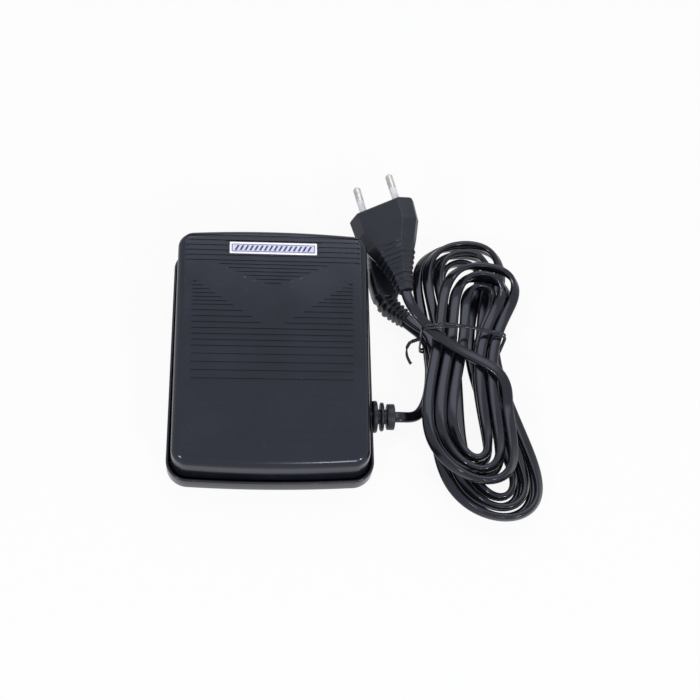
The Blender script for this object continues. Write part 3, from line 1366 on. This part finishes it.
@dataclass(frozen=True)
class MachineConnector:
    """Connector of the machine's end: a rounded block with two sockets and a ribbed boot."""

    middle: tuple[float, float, float] = (60.0, 62.0, 6.75)
    width: float = 18.0
    height: float = 13.5
    length: float = 41.0
    socket_pitch: float = 9.0
    socket_r: float = 2.0
    socket_l: float = 14.0
    end: tuple[float, float] = BOOT_END

    def build(self, wardrobe: Wardrobe) -> list[bpy.types.Object]:
        """Makes the block and its boot.

        Args:
            wardrobe: the materials.

        Returns:
            The two pieces.
        """
        x, y, z = self.middle
        front = y + self.length / 2
        stations = np.array([0, 0.3, 1.0, 0.7 * self.length, 0.9 * self.length, self.length - 0.6, self.length])
        trims = np.array([1.4, 0.5, 0.0, 0.0, 1.5, 2.6, 3.4])
        back = np.concatenate([stations[:3], np.linspace(2, self.length - 1, 40), stations[-2:]])
        trim = np.interp(back, stations, trims)
        rings = []
        for distance, cut in zip(back, trim):
            ridge = 0.35 * smoothstep(np.cos(2 * math.pi * distance / 3.2) * 2) * (12 < distance < 26)
            w, h = self.width / 2 - cut - 0.35 + ridge, self.height / 2 - cut * 0.3
            plan = rounded_polygon(np.array([[w, h], [-w, h], [-w, -h], [w, -h]]), 2.2 - cut * 0.2, 7)
            rings.append(np.column_stack([x + plan[:, 0], np.full(len(plan), front - distance), z + plan[:, 1]]))
        block = Surface()
        block.grid(np.array(rings), wrap=True)
        block.cap(rings[-1][::-1])
        self._face(block, rings[0], front)
        body = block.piece("machine_connector_block", Body.BASE, crease=40.0)
        wardrobe.dress(body, "plug_black")
        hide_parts("machine_connector")
        boot = self._boot()
        wardrobe.dress(boot, "plug_black")
        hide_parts("connector_boot")
        return [body, boot]

    def _face(self, block: Surface, rim: Array, front: float) -> None:
        """Front face with two round sockets.

        Each half of the face runs from its share of the rim to the mouth of its socket,
        and the socket goes down to its floor.
        """
        x, _, z = self.middle
        for side in (-1, 1):
            centre = np.array([x + side * self.socket_pitch / 2, front, z])
            spread = 40
            angle = np.linspace(0, 2 * math.pi, spread, endpoint=False)
            mouth = centre + self.socket_r * np.stack([np.cos(angle), 0 * angle, np.sin(angle)], 1)
            c, s = np.cos(angle), np.sin(angle)
            low_x, high_x = (x, rim[:, 0].max()) if side > 0 else (rim[:, 0].min(), x)
            to_x = np.where(c > 0, high_x - centre[0], centre[0] - low_x) / np.maximum(np.abs(c), 1e-6)
            to_z = (rim[:, 2].max() - z) / np.maximum(np.abs(s), 1e-6)
            reach = np.minimum(to_x, to_z)
            border = centre + reach[:, None] * np.stack([c, 0 * c, s], 1)
            block.grid(np.array([border, mouth, mouth - [0, self.socket_l, 0]]), wrap=True)
            block.cap(mouth - [0, self.socket_l, 0])

    def _boot(self) -> bpy.types.Object:
        """Ribbed boot along the bend towards the cords."""
        x, y, z = self.middle
        back = y - self.length / 2
        lead = unit(np.array(BOOT_LEAD))
        end = np.array([*self.end, z])
        route = np.array([[x, back + 0.05, z], [x, back - 1.0, z], [62.2, 36.8, z], [65.4, 33.8, z],
                          end - lead, end])
        curve = smooth_route(route, 12)
        path, _ = resample(curve, np.zeros(len(curve)), 0.22, 2)
        share = np.linspace(0, 1, len(path))
        rib = np.clip(2.0 * np.cos(2 * math.pi * share * 6.0), -1, 1) * smoothstep((0.97 - share) / 0.1)
        size = np.stack([5.5 - 2.1 * share + 0.45 * rib, 5.75 - 0.35 * share + 0.22 * rib], 1)
        surface = Surface()
        section = rounded_polygon(np.array([[1, 1], [-1, 1], [-1, -1], [1, -1]]), 0.7, 9)
        surface.loft(carried(path, section, np.zeros(len(path)), size))
        return surface.piece("machine_connector_boot", Body.BASE, crease=50.0)


@dataclass(frozen=True)
class WireTie:
    """Thin sheathed wire wound twice round the waist, twisted at the left, with a loose end."""

    y: float = 14.6
    wire: float = 0.5
    corners: tuple[tuple[float, float], ...] = (
        (77.0, 1.1), (119.3, 1.1), (119.3, 18.9), (85.6, 25.6), (75.0, 26.2))
    twist_from: tuple[float, float, float] = (75.6, 14.6, 14.0)
    loose_end: tuple[tuple[float, float, float], ...] = (
        (71.6, 13.4, 13.4), (70.2, 12.6, 13.0), (68.9, 10.0, 12.2), (68.9, 6.6, 10.8), (70.4, 3.6, 9.2),
        (71.2, 2.9, 8.8))

    def build(self, wardrobe: Wardrobe) -> bpy.types.Object:
        """Makes the two turns, the twist and the loose end.

        Args:
            wardrobe: the materials.

        Returns:
            The tie.
        """
        surface = Surface()
        loop = rounded_polygon(np.array(self.corners), 1.9, 8)
        closed = np.concatenate([loop, loop[:1]])
        upright = np.column_stack([closed[:, 0], 0 * closed[:, 0], closed[:, 1]])
        level, _ = resample(upright, closed[:, 0], 0.9, 1)
        arch = 2.6 * np.sin(np.pi * np.clip((level[:, 0] - 76) / 43, 0, 1)) * smoothstep((level[:, 2] - 15) / 5)
        for side in (-1, 1):
            path = level + [0, self.y, 0]
            path[:, 1] += arch + side * (0.6 + 0.35 * np.sin(level[:, 0] * 0.17))
            surface.loft(self._tube(path, np.tile([1.3, 0.9], (len(path), 1))))
        steps = np.linspace(0, 1, 50)
        start, stop = np.array(self.twist_from), np.array(self.loose_end[0])
        for phase in (0.0, math.pi):
            turn = 2 * math.pi * 2.2 * steps + phase
            coil = 0.55 * np.stack([0 * turn, np.cos(turn), np.sin(turn)], 1)
            surface.loft(self._tube(start + steps[:, None] * (stop - start) + coil, np.ones((50, 2))))
        loose = smooth_route(np.array(self.loose_end), 8)
        surface.loft(self._tube(loose, np.tile([1.7, 0.9], (len(loose), 1))))
        made = surface.piece("wire_tie", Body.BASE, crease=60.0)
        wardrobe.dress(made, "tie_black")
        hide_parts("hank_tie")
        return made

    def _tube(self, path: Array, size: Array) -> Array:
        """Rings of the sheathed wire along a path that may run upright."""
        tangent = unit(np.gradient(path, axis=0))
        side = unit(np.cross(tangent, [0.12, 1.0, 0.25]))
        up = np.cross(side, tangent)
        ring = circle(self.wire, 10)
        u = ring[None, :, 1] * size[:, 1:]
        v = ring[None, :, 0] * size[:, :1]
        return path[:, None, :] + u[..., None] * side[:, None, :] + v[..., None] * up[:, None, :]


# ---------------------------------------------------------------- springs


@dataclass(frozen=True)
class ReturnSprings:
    """Two compression springs between tray and cover, closed at both ends."""

    x: float = 28.0
    y: float = 20.0
    radius: float = 5.5
    wire: float = 0.52
    turns: int = 6
    low: float = 4.53
    high: float = 30.96
    keep: float = 0.722

    def build(self, wardrobe: Wardrobe) -> bpy.types.Object:
        """Makes both springs, which shorten as the pedal goes down.

        The wire's height runs from low to high as t - 0.8 sin(2 pi t) / (2 pi), so that
        the first and the last turn lie nearly flat.

        Args:
            wardrobe: the materials.

        Returns:
            The springs.
        """
        t = np.linspace(0, 1, self.turns * 40 + 1)
        angle = 2 * math.pi * self.turns * t
        height = self.low + (self.high - self.low) * (t - 0.8 * np.sin(2 * math.pi * t) / (2 * math.pi))
        coil = np.stack([self.radius * np.cos(angle), self.y + self.radius * np.sin(angle), height], 1)
        surface = Surface()
        for side in (-1, 1):
            path = coil + [side * self.x, 0, 0]
            surface.loft(carried(path, circle(self.wire, 12), np.zeros(len(path)), np.ones((len(path), 2))))
        made = surface.piece("return_spring_pair", Body.BASE, crease=60.0)
        wardrobe.dress(made, "spring_steel")
        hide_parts("return_springs")
        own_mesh(made)
        return made


# ---------------------------------------------------------------- assembly


PEDAL_WINDING = Winding(start=180.0, inward=2.5, outward=2.5, layers=(0, 1), up=71.0, down=90.0, swell=32.0,
                        lean=2.0)
MAINS_WINDING = Winding(start=-30.0, inward=2.5, outward=2 - 45 / 360, layers=(3, 2), up=50.0, down=74.0,
                        swell=25.0, lean=-11.0, lift=0.6)


def boot_entry(z: float) -> list[tuple[float, float, float]]:
    """The straight last stretch of a cord into the connector's boot, at a height."""
    lead = unit(np.array(BOOT_LEAD))
    return [tuple(np.array([*BOOT_END, z]) + step * lead) for step in (5.4, 0.1)]


class CordSet:
    """The two cords with what is on their ends."""

    def build(self, nodes: dict[str, bpy.types.Object], wardrobe: Wardrobe) -> None:
        """Lays both cords and declares their lengths.

        Args:
            nodes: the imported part's nodes.
            wardrobe: the materials.
        """
        plug = MainsPlug()
        placing = plug.placing()
        leave = [tuple(placing @ Vector((0, -plug.boot_end - step, 0))) for step in (0.0, 5.4)]
        pedal = FlatCord(
            "pedal_cord", PEDAL_WINDING,
            ((61, -27, 8.5), (65, -27, 8.5), (71, -25.5, 5.4), (75, -22.5, 3.8), (78.5, -16, 3.1),
             (80.6, -8, 3.2)),
            ((78.3, 20.4, 6.4), *boot_entry(4.5)),
            ("pedal_cord_lead", "pedal_cord_hank", "pedal_cord_tail"))
        mains = FlatCord(
            "mains_cord", MAINS_WINDING,
            (*leave, (72.2, 22.5, 27), (77, 17.5, 24.6), (82.5, 13, 22.2), (90, 8, 20.6), (98.5, 3, 19.9),
             (107, -2, 19.8), (113.5, -7, 19.7), (117, -14.5, 18.2)),
            ((82, 13.5, 11.6), (79.3, 21, 10.3), *boot_entry(9.3)),
            ("mains_cord_lead", "mains_cord_hank", "mains_cord_tail"))
        tie = WireTie().build(wardrobe)
        grommet = Grommet().build(wardrobe)
        connector = MachineConnector().build(wardrobe)
        body = plug.build(wardrobe)
        pedal_piece, pedal_line = pedal.build(wardrobe)
        mains_piece, mains_line = mains.build(wardrobe)
        mains_line = mains_line[::-1]
        LOG.info("pedal cord %.3f m, mains cord %.3f m", path_length(pedal_line), path_length(mains_line))


def corners(box: tuple[Vector, Vector]) -> list[list[float]]:
    """A box's two corners as plain lists of numbers."""
    return [[float(v) for v in corner] for corner in box]


def main() -> None:
    """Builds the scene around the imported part."""
    logging.basicConfig(level=logging.INFO, format="%(name)s: %(message)s")
    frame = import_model()
    Viewpoint().place()
    Stage().build()
    wardrobe = Wardrobe()
    wardrobe.dress_nodes(frame["nodes"], frame["record"])
    CordSet().build(frame["nodes"], wardrobe)
    cover = TreadCover()
    cover.build(wardrobe)
    Label().build(cover, wardrobe)
    Tray().build(wardrobe)
    ReturnSprings().build(wardrobe)


if __name__ == "__main__":
    main()
